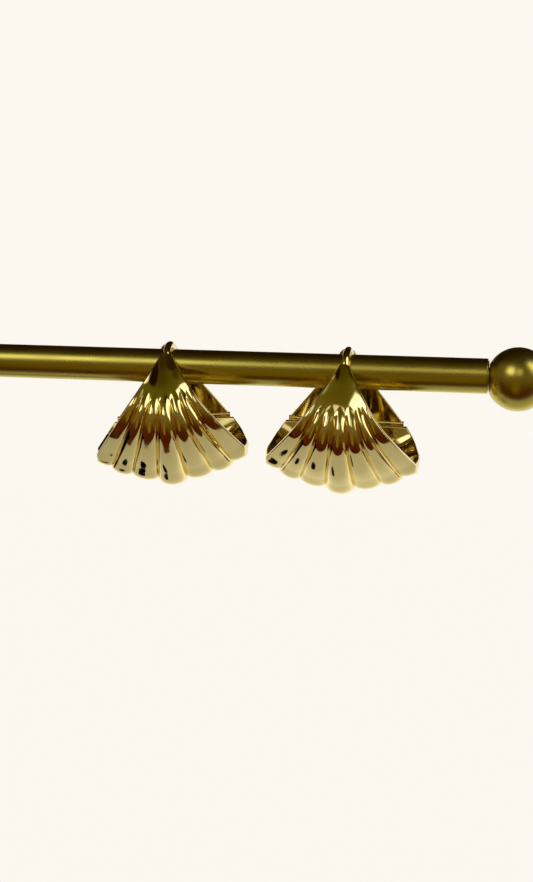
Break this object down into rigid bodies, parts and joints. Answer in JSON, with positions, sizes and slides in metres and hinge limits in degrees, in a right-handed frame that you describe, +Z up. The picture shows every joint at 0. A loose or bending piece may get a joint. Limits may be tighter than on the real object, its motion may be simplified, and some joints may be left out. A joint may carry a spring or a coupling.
{
  "type": "pair of pleated fan hoop earrings on a display bar",
  "caption": "Pleated fan hoop earrings with hinged latch backs, hanging side by side on a round display bar that ends in a ball and has a spigot for its stand",
  "frame": {"origin": "on the bar's axis, at the shoulder where its spigot enters the stand", "axes": "+X along the bar towards its ball, the fans face -Y, +Z up"},
  "size_m": [0.1145, 0.021, 0.0277],
  "materials": {
    "earring_gold": "mirror-polished gold plate",
    "bar_metal": "satin lacquered brass",
    "pin_metal": "drawn wire"
  },
  "bodies": {
    "bar": {"bar": "bar_metal", "ball": "bar_metal", "left_fan": "earring_gold", "left_pin": "pin_metal", "right_fan": "earring_gold", "right_pin": "pin_metal"},
    "left_latch": {"left_latch": "earring_gold"},
    "right_latch": {"right_latch": "earring_gold"}
  },
  "joints": [
    {"name": "left_latch_hinge", "type": "hinge", "parent": "bar", "child": "left_latch", "pos_m": [0.03424, 0.005, -0.01093], "axis": [-0.9828, -0.1804, -0.0401], "range_deg": [0, 75]},
    {"name": "right_latch_hinge", "type": "hinge", "parent": "bar", "child": "right_latch", "pos_m": [0.06733, 0.00624, -0.01072], "axis": [-0.998, -0.0541, 0.0314], "range_deg": [0, 75]}
  ]
}
